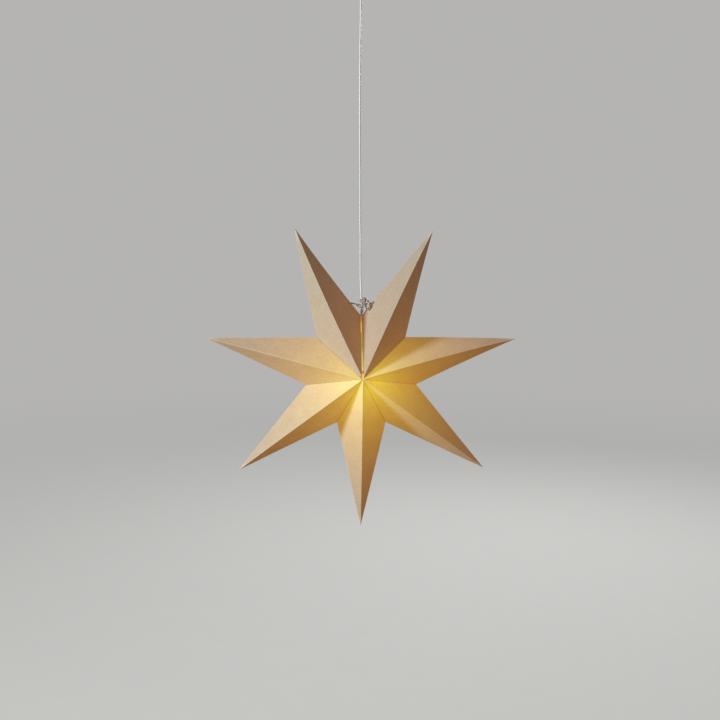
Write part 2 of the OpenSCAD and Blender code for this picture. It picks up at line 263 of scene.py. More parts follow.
class StarSettings(bpy.types.PropertyGroup):
    tip_radius: length("Tip radius", "Middle of the star to a tip", BOTTOM_HI.z - BOTTOM_LO.z)
    half_depth: length("Half depth", "Middle of the star to its front apex", BOTTOM_HI.y)
    valley_radius: length(
        "Inner corner radius", "Middle of the star to an inner corner", BOTTOM_HI.x / math.sin(HALF_STEP))
    card: length("Card thickness", "Thickness of the card", 0.0004)
    tab: length("Glue tab width", "Width of the tab turned in along each valley", 0.009)
    flap: length("Glue flap width", "Width of the strip glued inside each back ridge", 0.009)
    hub: length("Tab cut-back", "Free radius round the middle where the tabs are cut back", 0.006)
    fold: length("Fold softness", "Length over which a fold is rounded", 0.0009)
    buckle: length("Panel unevenness", "How far a panel swells or sinks between its folds", 0.0006)
    card_colour: colour("Card", "Colour of the kraft card", (0.420, 0.428, 0.348))
    direct_glow: colour("Direct glow", "Bulb's light seen through the card", (0.155, 0.152, 0.009))
    soft_glow: colour("Soft glow", "Light thrown about inside, seen through the card", (0.37, 0.072, 0.0))
    glow: amount("Glow", "Light that comes through the card", 1.0, 5)
    inside: colour("Inside", "Light on the inner face of the card", (1.0, 0.62, 0.14))


class LeadSettings(bpy.types.PropertyGroup):
    thin: length("Narrow side", "Narrow side of the flat lead", 0.0032)
    wide: length("Wide side", "Wide side of the flat lead", 0.0054)
    groove: amount("Groove", "Depth of the groove between the cores, as a share", 0.22, 0.6)
    sheath_colour: colour("Sheath", "Colour of the lead", (0.92, 0.92, 0.91))


class TieSettings(bpy.types.PropertyGroup):
    string: length("String", "Diameter of the tie string", 0.002)
    pitch: length("Twist", "Length of one full twist", 0.014)
    plies: IntProperty(name="Plies", description="Strands twisted together", default=2, min=2, max=6)
    # crowns in a highlight colour and grooves near black: painted highlight and painted shade; the string's
    # own colour lies between
    pale: colour("Crown", "Colour on the crowns of the plies", (0.90, 0.83, 0.78))
    groove_shade: colour("Groove", "Colour between the plies", (0.085, 0.062, 0.055))


class LampSettings(bpy.types.PropertyGroup):
    plastic: colour("Holder plastic", "Colour of the lamp holder", (0.80, 0.80, 0.77))
    warm: colour("Bulb light", "Colour of the lit bulb", (1.0, 0.62, 0.18))
    power: amount("Bulb brightness", "Brightness of the frosted globe", 0.42, 10)


class FittingSettings(bpy.types.PropertyGroup):
    plastic: colour("Cup plastic", "Colour of the ceiling cup and cord grip", (0.82, 0.82, 0.80))
    steel: colour("Steel", "Colour of the plated bar and tube", (0.60, 0.61, 0.62))


class StageSettings(bpy.types.PropertyGroup):
    distance: length("Camera distance", "Camera to the middle of the star", 2.2)
    turn: slant("Camera turn", "Camera to the left of straight ahead", 1.90)
    tilt: slant("Camera tilt", "Camera above the star's middle", 7.83)
    aside: length("Aim aside", "Star's middle right of the view's middle", 0.00237)
    above: length("Aim above", "Star's middle above the view's middle", -0.02294)
    lens: amount("Focal length", "Focal length in millimetres", 58.10, 500)
    floor: length("Floor", "Height of the floor", -1.75)
    backdrop: colour("Floor colour", "Colour of the floor and of what lies behind it", (0.46, 0.456, 0.448))
    key: amount("Key light", "Brightness that the key lamp gives a white surface facing it", 0.85, 10)
    ambient: colour("Surround", "Light from all round", (0.164, 0.171, 0.152))
    back: amount("Back light", "Brightness that the back lamp gives a white surface facing it", 0.50, 10)


# card


# sizes of the card's surface pattern, as noise scales per metre
SPECK, FIBRE, GRAIN, CLOUD = 2600.0, 420.0, 240.0, 38.0
# distances over which paleness fades out, from a fold (wear and a painted highlight) and from a tip (wear)
FOLD_WEAR_AND_HIGHLIGHT, WORN_TIP = (0.0004, 0.0016), (0.004, 0.030)
# light of the bulb on the card: a bright spot beside, in front of or behind, and below the star's middle
SPOT_ASIDE, SPOT_FORWARD, SPOT_ABOVE = 0.008, 0.060, -0.012
NEAR_GAIN, NEAR_SPREAD, NEAR_REACH, NEAR_KNEE = 5.6, 0.35, 0.100, 0.16
SOFT_REACH = 0.30
FLAP_FROM, FLAP_TO = 0.10, 0.92  # the glue flap's ends, as shares of the back ridge from the tip
FAR_OFF, OFF_FOLD = 0.2, 0.01  # distances given to what has no tip or flap near it, and no fold
SHEET_STEP = 0.37  # shift of the surface pattern from one point to the next
FIRST_SEED = 11  # of the seven draws for the unevenness of the points
HOLDER_SHADE = (0.15, 0.85)  # how far upward a direction points where the holder begins and ends to shade it


def card_finish(settings, inside):
    """Kraft card with fibres, mottling, folds paled by wear and a painted highlight, and the bulb's light
    painted in through it or inside.
    """
    f = Finish("kraft_card_inside" if inside else "kraft_card", Roughness=0.8, Specular_IOR_Level=0.15)
    base = tuple(settings.card_colour)
    sheet = f.attribute("card", "Vector")
    speck = f.noise(SPECK, 2.0, vector=sheet).step(0.3, 0.7)
    fibre = f.noise(FIBRE, 3.0, 0.6, sheet, (1.0, 7.0, 1.0)).step(0.28, 0.72)
    cloud = f.noise(CLOUD, 3.0, 0.55, sheet)
    grain = f.noise(GRAIN, 2.0, 0.5, sheet)
    shade = 0.65 + 0.08 * speck + 0.12 * fibre + 0.14 * cloud + 0.26 * grain
    fold = 1 - f.attribute("fold").step(*FOLD_WEAR_AND_HIGHLIGHT)
    tip = 1 - f.attribute("along").step(*WORN_TIP)
    # pale along the folds: wear and a painted highlight; pale at the tip: wear
    wear_and_highlight = (0.5 * fold + 0.55 * tip) * (0.6 + 0.8 * fibre)
    tint = f.mix(cloud, toned(base, (1.02, 1.0, 0.96)), toned(base, (0.98, 1.0, 1.05)))
    grey = f.node("ShaderNodeCombineXYZ", None, {0: shade, 1: shade, 2: shade})
    card = f.mix(1.0, tint, grey, "MULTIPLY")
    f.set(Base_Color=f.mix(wear_and_highlight, card, tuple(min(1.0, c * 1.25 + 0.10) for c in base)))
    f.set(Roughness=0.70 + 0.2 * fibre)
    f.bump(0.6 * speck + 0.4 * fibre, 0.00006, 0.5)
    direct, soft = f.attribute("direct"), f.attribute("soft")
    if inside:
        f.set(Emission_Color=f.scaled(tuple(settings.inside), direct * 0.16 + soft * 0.35))
    else:
        flap = 1 - f.attribute("seam").step(settings.flap - 0.0006, settings.flap + 0.0006)
        through = settings.glow * (1 - 0.45 * flap) * (0.68 + 0.20 * cloud + 0.34 * grain + 0.10 * fibre)
        f.set(Emission_Color=f.mix(
            1.0, f.scaled(tuple(settings.direct_glow), direct * through),
            f.scaled(tuple(settings.soft_glow), soft * through), "ADD"))
    f.set(Emission_Strength=1.0)
    f.material.cycles.emission_sampling = "NONE"
    return f.material


def bulb_light(points, normals, axis_up):
    """Light that reaches the inner face of the card, as (near, soft).

    Near is n / (1 + knee n), with n = gain cos^spread exp(-far / reach), about the bright spots in front of
    and behind the bulb, where cos and far are those of the ray from the spot. Soft, thrown about inside, is
    exp(-distance from the middle / reach). The holder takes part of both from what lies above, by 0.6 of the
    point's own upward direction (axis_up) and 0.4 of the vertex's.
    """
    away = np.linalg.norm(points, axis=-1)
    up = points[..., 2] / np.maximum(np.hypot(points[..., 0], points[..., 2]), 1e-9)
    shade = smoothstep(*HOLDER_SHADE, 0.6 * axis_up + 0.4 * up)
    spot = [0 * away + SPOT_ASIDE, np.sign(normals[..., 1]) * SPOT_FORWARD, 0 * away + SPOT_ABOVE]
    ray = points - np.stack(spot, axis=-1)
    far = np.linalg.norm(ray, axis=-1)
    square = np.maximum((normals * ray).sum(axis=-1), 0) / far
    near = NEAR_GAIN * square**NEAR_SPREAD * np.exp(-far / NEAR_REACH)
    near = near / (1 + NEAR_KNEE * near)
    return near * (1 - 0.92 * shade), np.exp(-away / SOFT_REACH) * (1 - 0.40 * shade)


class PointShape:
    """Numbers of one folded point in its own frame: tip on +Z, back on +Y, the star's middle at the origin.

    The section at depth d below the tip is a rhombus with corners (+-side d, 0) and (0, +-ridge d), and the
    point ends at the two valley planes.
    """

    INNER = 18  # columns between the folds of a panel
    ROWS = np.concatenate([[0, 0.004, 0.012, 0.028], np.linspace(0.05, 0.985, 38)])  # tip to valley edge
    OUTER_BEND, INNER_BEND = 0.0006, 0.00005  # rounding of the valley edge on both faces of the card

    def __init__(self, s):
        self.s = s
        sin, cos = math.sin(HALF_STEP), math.cos(HALF_STEP)
        self.sin, self.cos = sin, cos
        self.side = s.valley_radius * sin / (s.tip_radius - s.valley_radius * cos)
        self.ridge = s.half_depth / s.tip_radius
        self.lift = math.sqrt(1 / self.side**2 + 1 / self.ridge**2 + 1)
        back, right = np.array([0, self.ridge]), np.array([self.side, 0])
        self.corners = np.array([back, right, -back, -right, back])
        n = self.INNER
        step = 1 / (n + 1)
        part = np.concatenate([[0, 0, 0], np.arange(1, n + 1) * step, [1, 1]])
        push = np.concatenate([[0, 0.5, 1], np.zeros(n), [-1, -0.5]])
        self.corner = np.repeat(np.arange(4), n + 5)
        self.part, self.push, self.most = np.tile(part, 4), np.tile(push, 4), 0.5 * step
        self.folds = np.arange(4) * (n + 5)
        self.count = 4 * (n + 5)

    def shares(self, v):
        """Place of each column between the two folds of its panel.

        Columns at a fold keep their distance from it until the panel is too narrow.
        """
        across = math.hypot(self.side, self.ridge) * self.s.tip_radius * 0.75
        nudge = np.minimum(self.s.fold / (across * np.maximum(v, 1e-6)), self.most)
        return self.part + self.push * nudge[:, None]

    def section(self, share):
        """Rhombus direction for each share."""
        a, b = self.corners[self.corner], self.corners[self.corner + 1]
        return a * (1 - share[..., None]) + b * share[..., None]

    def depth(self, direction, radius, left, right):
        """Depth at which a line from the tip meets a valley plane, each plane moved in by its inset."""
        x = direction[..., 0]
        return np.minimum(
            (radius * self.sin - left) / (self.sin - x * self.cos),
            (radius * self.sin - right) / (self.sin + x * self.cos),
        )

    def tab_ends(self, edge, left, right, inner=None):
        """Ends of the tabs, and the lines (depth, y) that they run towards.

        Each edge point moves towards the line that lies a tab's width inside the valley edge, and is cut off
        at the hub.
        """
        sign = np.where(edge[:, 0] < 0, -1.0, 1.0)
        inset = np.where(sign < 0, left, right)
        q = sign * edge[:, 0] * self.sin + edge[:, 2] * self.cos
        if inner is None:
            inner = np.zeros((self.count, 2))
            for side in (-1, 1):
                chosen = sign == side
                q_c = q[chosen].max()
                y_a = np.abs(edge[:, 1]).max()
                q_a = -(left if side < 0 else right) / math.tan(HALF_STEP) if (left + right) else 0.0
                slope = math.atan2(y_a, q_c - q_a)
                e = np.abs(edge[chosen, 1]) / y_a
                at_corner = q_c - self.s.tab / math.sin(slope)
                at_apex = q_a - self.s.tab * math.sin(slope)
                inner[chosen, 0] = at_corner * (1 - e) + at_apex * e
                inner[chosen, 1] = np.sign(edge[chosen, 1]) * (y_a - self.s.tab * math.cos(slope)) * e
        reach = np.clip((q - self.s.hub) / np.maximum(q - inner[:, 0], 1e-9), 0, 1)
        q_end = q + reach * (inner[:, 0] - q)
        y_end = edge[:, 1] + reach * (inner[:, 1] - edge[:, 1])
        x_end = sign * (q_end * self.sin - inset * self.cos)
        z_end = q_end * self.cos + inset * self.sin
        end = np.stack([x_end, y_end, z_end], axis=-1)
        return np.where(reach[:, None] > 0, end, edge), inner

    def round_folds(self, skin):
        """Each fold becomes a quadratic curve between the columns on both sides of it."""
        for c in self.folds:
            fold = skin[:, c].copy()
            before, after = skin[:, c - 2], skin[:, (c + 2) % self.count]
            for shift, u in ((-1, 0.25), (0, 0.5), (1, 0.75)):
                skin[:, c + shift] = fold + (1 - u) ** 2 * (before - fold) + u**2 * (after - fold)
        return skin

    def skin(self, radius, left, right, rounded, inner=None):
        """Rows of points from the tip to the valley edge, round the edge and down the tab.

        A panel point is tip + v (edge - tip). The shares, the depths and the tab lines come with the rows.
        """
        v = np.append(self.ROWS, 1.0)
        share = self.shares(v)
        direction = self.section(share)
        d = v[:, None] * self.depth(direction, radius, left, right)
        panel = np.stack([direction[..., 0] * d, direction[..., 1] * d, radius - d], axis=-1)
        if rounded:
            panel = self.round_folds(panel)
        edge = panel[-1]
        end, inner = self.tab_ends(edge, left, right, inner)
        tip = np.array([0, 0, radius])
        up = (tip - edge) / np.linalg.norm(tip - edge, axis=1)[:, None]
        tab = end - edge
        size = np.linalg.norm(tab, axis=1)[:, None]
        bend = np.minimum(self.OUTER_BEND if rounded else self.INNER_BEND, 0.45 * size)
        along = tab / np.maximum(size, 1e-9)
        bent = [edge + (1 - u) ** 2 * bend * up + u**2 * bend * along for u in (0, 0.25, 0.5, 0.75, 1)]
        rows = np.concatenate([panel[:-1], bent, [edge + tab * 0.5, end]])
        return rows, share, d, inner

    def normals(self):
        """Outward unit normal of the panel that each column lies on; a fold takes both sides' mean."""
        signs = np.array([[1, 1], [1, -1], [-1, -1], [-1, 1]])[self.corner]
        n = np.stack([signs[:, 0] / self.side, signs[:, 1] / self.ridge, np.ones(self.count)], axis=1)
        n[self.folds] = (n[self.folds - 1] + n[self.folds]) / 2
        return n / np.linalg.norm(n, axis=1)[:, None]

    def lean(self, points, by):
        """The free part of the point bends sideways by t^2 and draws back a quarter of that.

        t runs from 0 at the inner corners to 1 at the tip.
        """
        low = self.s.valley_radius * self.cos
        t = np.clip((points[..., 2] - low) / (self.s.tip_radius - low), 0, 1) ** 2
        return points + t[..., None] * np.array([by, 0, -0.25 * abs(by)])

    def card_place(self, share, d):
        """Place on the unfolded card, in metres: the panels laid flat side by side round the tip."""
        to_side, to_ridge = math.hypot(1, self.side), math.hypot(1, self.ridge)
        turn = math.acos(1 / (to_side * to_ridge))
        reach = np.array([to_ridge, to_side, to_ridge, to_side, to_ridge])
        ways = np.arange(5) * turn
        flat = np.stack([reach * np.cos(ways), reach * np.sin(ways)], axis=1)
        place = flat[self.corner] * (1 - share[..., None]) + flat[self.corner + 1] * share[..., None]
        return place * d[..., None]


def folded_point(s, index, left, right):
    """Closed shell of one point (points, quads, attributes), its face slots, its PointShape and its turn."""
    shape = PointShape(s)
    t = s.card
    outer, share, d, line = shape.skin(s.tip_radius, left, right, True)
    inner = shape.skin(s.tip_radius - t * shape.lift, left + t, right + t, False, line)[0]
    n = shape.normals()
    # unevenness: a few long waves that die out at the folds and at both ends of a panel
    draw = np.random.default_rng(FIRST_SEED + index).uniform(-1, 1, (4, 3))
    v = shape.ROWS[:, None]
    k = shape.corner
    f = np.clip(shape.shares(shape.ROWS), 0, 1)
    wave = draw[k, 0] + draw[k, 1] * np.sin(2 * math.pi * (v + draw[k, 2]))
    wave = wave + 0.4 * np.sin(9 * v + 5 * f + 3 * draw[k, 1])
    swell = s.buckle * 0.7 * wave * np.sin(math.pi * f) ** 2 * np.sin(math.pi * v**0.8) ** 1.5
    many = len(shape.ROWS)
    outer[:many] += swell[..., None] * n
    inner[:many] += swell[..., None] * n
    outer, inner = shape.lean(outer, LEAN[index]), shape.lean(inner, LEAN[index])
    rows = np.concatenate([outer, inner[::-1]])
    height, width = rows.shape[:2]

    # the row's frame: the point's own X, Y, Z turned about the star's front-back axis
    a = math.pi + index * 2 * HALF_STEP
    turn = np.array([[math.cos(a), 0, -math.sin(a)], [0, 1, 0], [math.sin(a), 0, math.cos(a)]])
    light = [
        np.stack(bulb_light(side @ turn, np.broadcast_to(n @ turn, side.shape), math.cos(a)))
        for side in (outer, inner)
    ]
    light[0][:, many:] *= np.linspace(0.75, 0.25, len(outer) - many)[:, None]  # weaker round the edge and tab

    def pad(values, last):
        """Attribute rows of the panels carried on over the edge and tab rows."""
        return np.concatenate([values[:-1], np.repeat(last[None], len(outer) - len(values) + 1, axis=0)])

    place = shape.card_place(share, d)
    place = pad(place, place[-1])
    step = np.zeros(len(outer))
    step[many:] = np.linspace(0, 1, len(outer) - many) * s.tab
    place = place * (1 + step[:, None] / np.maximum(np.linalg.norm(place, axis=-1), 1e-6))[..., None]
    card = np.concatenate([place, np.full(place.shape[:2] + (1,), SHEET_STEP * index)], axis=-1)
    wide = math.hypot(shape.side, shape.ridge) * d
    fold = pad(np.minimum(share, 1 - share) * wide, np.full(width, OFF_FOLD))
    along = pad(d, d[-1])
    # distance from the back ridge over the glue flap, far off elsewhere
    ends = np.append(shape.ROWS, 1.0)[:, None]
    glued = (shape.corner == 0) & (ends >= FLAP_FROM) & (ends <= FLAP_TO + 0.01)
    seam = pad(np.where(glued, share * wide * 0.95, FAR_OFF), np.full(width, FAR_OFF))

    def both(x):
        """Values of the outer rows and, turned back, of the inner rows."""
        return np.concatenate([x, x[::-1]]).reshape((-1,) + x.shape[2:])

    values = {
        "card": both(card), "fold": both(fold), "along": both(along), "seam": both(seam),
        "direct": np.concatenate([light[0][0], light[1][0][::-1]]).ravel(),
        "soft": np.concatenate([light[0][1], light[1][1][::-1]]).ravel(),
    }
    quads = grid_quads(height, width, close_cols=True)
    face_row = np.repeat(np.arange(height - 1), width)
    slots = (face_row >= many + 1).astype(int)
    place_all = rows.reshape(-1, 3) @ turn + np.array([0, 0, STAR_Z])
    return (place_all, quads, values), slots, shape, turn


def glue_flap(shape, s, turn, by):
    """Strip glued along the back ridge inside the right-hand panel, as thin as the card.

    A point is tip + along run + across c + inward h.
    """
    size = math.hypot(s.half_depth, s.tip_radius)
    along = np.array([0, s.half_depth, -s.tip_radius]) / size
    inward = -np.array([1 / shape.side, 1 / shape.ridge, 1]) / shape.lift
    across = np.cross(inward, along)
    run = np.linspace(FLAP_FROM, FLAP_TO, 60) * size
    taper = np.minimum((run - run[0]) / (0.05 * size), (run[-1] - run) / (0.04 * size)).clip(0, 1)
    top = s.card * 1.02
    u = np.linspace(0, 1, 9)
    c = 1.3 * s.card + (s.flap - 1.3 * s.card) * taper[:, None] * u
    lift = s.card * np.minimum(1, taper[:, None] * 12) * np.ones_like(u)
    tip = np.array([0, 0, s.tip_radius])
    under = tip + run[:, None, None] * along + c[..., None] * across + top * inward
    upper = under + lift[..., None] * inward
    ring = np.concatenate([under, upper[:, ::-1]], axis=1)
    points = shape.lean(ring.reshape(-1, 3), by)
    count = ring.shape[1]
    one = np.ones(len(points))
    flat = np.stack([points[:, 2], points[:, 0], 0 * one], axis=1)
    values = {"card": flat, "fold": OFF_FOLD * one, "along": FAR_OFF * one, "seam": FAR_OFF * one}
    return points @ turn + np.array([0, 0, STAR_Z]), grid_quads(len(run), count, close_cols=True), values


class ADVENT_OT_star(bpy.types.Operator):
    """Fold the seven points of the star"""
    bl_idname = "advent.star"
    bl_label = "Star points"

    def execute(self, context):
        s = context.scene.advent_star
        outside, inside = card_finish(s, False), card_finish(s, True)
        for index, name in enumerate(POINTS):
            left = SEAM_GAP / 2 if name == "point_top_right" else 0.0
            right = SEAM_GAP / 2 if name == "point_top_left" else 0.0
            shell, slots, shape, turn = folded_point(s, index, left, right)
            flap = glue_flap(shape, s, turn, LEAN[index])
            facing = np.array([1 / shape.side, 1 / shape.ridge, 1]) / shape.lift @ turn
            place = flap[0] - np.array([0, 0, STAR_Z])
            lit = bulb_light(place, np.broadcast_to(facing, place.shape), turn[2, 2])
            flap[2]["direct"], flap[2]["soft"] = lit
            add_piece(
                name + "_card", [shell, flap], [outside, inside], [name],
                face_slots=np.concatenate([slots, np.ones(len(flap[1]), int)]),
            )
        return {"FINISHED"}


# cords


def smooth_path(points, spacing, closed=False):
    """Cubic Hermite curve through given points with the mean slope at each, resampled at even spacing."""
    p = np.asarray(points, float)
    if closed:
        p = np.concatenate([p[-1:], p, p[:2]])
    else:
        p = np.concatenate([2 * p[:1] - p[1:2], p, 2 * p[-1:] - p[-2:-1]])
    a, b, c, d = p[:-3], p[1:-2], p[2:-1], p[3:]
    t = np.linspace(0, 1, 25)[:-1, None, None]
    gap = [np.linalg.norm(y - x, axis=1)[:, None] for x, y in ((a, b), (b, c), (c, d))]
    start = ((b - a) / gap[0] + (c - b) / gap[1]) / 2 * gap[1]
    stop = ((c - b) / gap[1] + (d - c) / gap[2]) / 2 * gap[1]
    curve = (
        (2 * t**3 - 3 * t**2 + 1) * b + (t**3 - 2 * t**2 + t) * start
        + (3 * t**2 - 2 * t**3) * c + (t**3 - t**2) * stop
    )
    curve = curve.transpose(1, 0, 2).reshape(-1, 3)
    curve = np.concatenate([curve, curve[:1] if closed else p[-2:-1]])
    run = np.concatenate([[0], np.cumsum(np.linalg.norm(np.diff(curve, axis=0), axis=1))])
    count = max(4, int(round(run[-1] / spacing)) + 1)
    at = np.linspace(0, run[-1], count)
    out = np.stack([np.interp(at, run, curve[:, i]) for i in range(3)], axis=1)
    return (out[:-1] if closed else out), at[: count - 1 if closed else count]


def path_frame(path, level, closed=False):
    """Unit vectors across a path: one square to it and to level, and one square to both."""
    if closed:
        along = np.roll(path, -1, axis=0) - np.roll(path, 1, axis=0)
    else:
        along = np.gradient(path, axis=0)
    along /= np.linalg.norm(along, axis=1)[:, None]
    flat = np.cross(np.asarray(level, float), along)
    flat /= np.linalg.norm(flat, axis=1)[:, None]
    return flat, np.cross(along, flat)


def swept(path, section, level, values, closed=False):
    """Section (u, w) per ring carried along a path: path + u flat + w rise. Ends close on their middle."""
    flat, rise = path_frame(path, level, closed)
    rings = path[:, None] + section[..., :1] * flat[:, None] + section[..., 1:] * rise[:, None]
    if not closed:
        first, last = (np.repeat(end[:, None], rings.shape[1], 1) for end in (path[:1], path[-1:]))
        rings = np.concatenate([first, rings, last])
        values = {k: np.concatenate([v[:1], v, v[-1:]]) for k, v in values.items()}
    quads = grid_quads(rings.shape[0], rings.shape[1], close_rows=closed, close_cols=True)
    return rings.reshape(-1, 3), quads, {k: v.reshape((-1,) + v.shape[2:]) for k, v in values.items()}


# the lead's route from the terminal block down, (x, z) in millimetres
LEAD_TOP = [
    (13.5, -12), (11, -12), (6.5, -13.5), (3, -16.5), (0.8, -20.5), (0, -25.5), (0, -34), (0, -47), (0, -60),
    (0, -75), (-0.5, -90), (-1, -105), (-1, -120), (-1.5, -135), (-1.5, -150), (-2, -165), (-2, -180),
    (-2, -195),
]
LEAD_BOW = [(-2.5, -z) for z in range(210, 376, 15)] + [(-2, -z) for z in range(390, 496, 15)]
LEAD_BOTTOM = [(-1.5, -z) for z in range(510, 586, 15)] + [(-1, -600), (-0.5, -615)]
LEAD_BOTTOM += [(0, -z) for z in range(630, 729, 14)]
# heights above the star's middle between which the lead takes on the light inside, dim and then bright
LEAD_LIT, LEAD_BRIGHT = (0.112, 0.106), (0.102, 0.090)
LEAD_AROUND, STRING_AROUND = 32, 24  # points round each section
LEAD_SPACING, STRING_SPACING = 0.002, 0.0005  # distance between sections


class ADVENT_OT_lead(bpy.types.Operator):
    """Run the flat lead from the terminal block down to the lamp holder"""
    bl_idname = "advent.lead"
    bl_label = "Lead"

    def execute(self, context):
        s = context.scene.advent_lead
        route = [(x * MM, 0.0, z * MM) for x, z in LEAD_TOP + LEAD_BOW + LEAD_BOTTOM]
        route.append((0.0, 0.0, LEAD_END_Z))
        path, _ = smooth_path(route, LEAD_SPACING)
        # two cores side by side: an oval with a groove on the middle of each wide face
        angle = np.linspace(0, 2 * math.pi, LEAD_AROUND + 1)[:-1]
        wide = s.wide / 2 * np.sign(np.sin(angle)) * np.abs(np.sin(angle)) ** 0.9
        waist = 1 - s.groove * np.exp(-((wide / (0.17 * s.wide)) ** 2))
        thin = s.thin / 2 * np.sign(np.cos(angle)) * np.abs(np.cos(angle)) ** 0.75 * waist
        section = np.broadcast_to(np.stack([thin, wide], axis=1), (len(path), LEAD_AROUND, 2))
        above = (path[:, 2] - STAR_Z)[:, None] * np.ones(LEAD_AROUND)
        values = {"glow": smoothstep(*LEAD_LIT, above), "bright": smoothstep(*LEAD_BRIGHT, above)}
        f = Finish("lead_sheath", Roughness=0.36, Specular_IOR_Level=0.5)
        rub = f.noise(90.0, 4.0, 0.6, stretch=(1.0, 1.0, 0.25))
        draw = f.noise(900.0, 2.0, 0.5, stretch=(1.0, 1.0, 0.02))
        pale = tuple(s.sheath_colour)
        sheath = f.mix(rub.step(0.35, 0.8), pale, toned(pale, (0.94, 0.93, 0.89)))
        # inside the star the sheath turns dark orange and glows: painted shade and painted light of the bulb
        f.set(Base_Color=f.mix(f.attribute("glow") * 0.8, sheath, (0.42, 0.20, 0.05)))
        f.set(Roughness=0.30 + 0.16 * rub)
        f.bump(draw, 0.00002, 0.3)
        warm = f.mix(f.attribute("bright"), (0.42, 0.09, 0.0), (0.62, 0.38, 0.05))
        f.set(Emission_Color=f.scaled(warm, f.attribute("glow")), Emission_Strength=1.0)
        f.material.cycles.emission_sampling = "NONE"
        shell = swept(path, section, (0, 1, 0), values)
        lead = add_piece("lead_flat_cord", [shell], [f.material], ["lead"])
        return {"FINISHED"}


def string_strand(s, points, base, thick=1.0, closed=False, level=(0, 1, 0)):
    """Twisted string through points in millimetres from base, of radius r (0.80 + 0.20 crown).

    Crown is |cos phase| and turns once per pitch along the path, or a whole number of times round a loop.
    """
    path, at = smooth_path(np.array(points, float) * MM, STRING_SPACING, closed)
    angle = np.linspace(0, 2 * math.pi, STRING_AROUND + 1)[:-1]
    pitch = s.pitch * thick
    turns = at / (at[-1] + at[1]) * round(at[-1] / pitch) if closed else at / pitch
    phase = s.plies * (angle[None, :] - 2 * math.pi * turns[:, None]) / 2
    crown = np.abs(np.cos(phase))
    r = s.string / 2 * thick * (0.80 + 0.20 * crown)
    section = np.stack([r * np.cos(angle), r * np.sin(angle)], axis=-1)
    return swept(path + np.asarray(base), section, level, {"crown": crown}, closed)


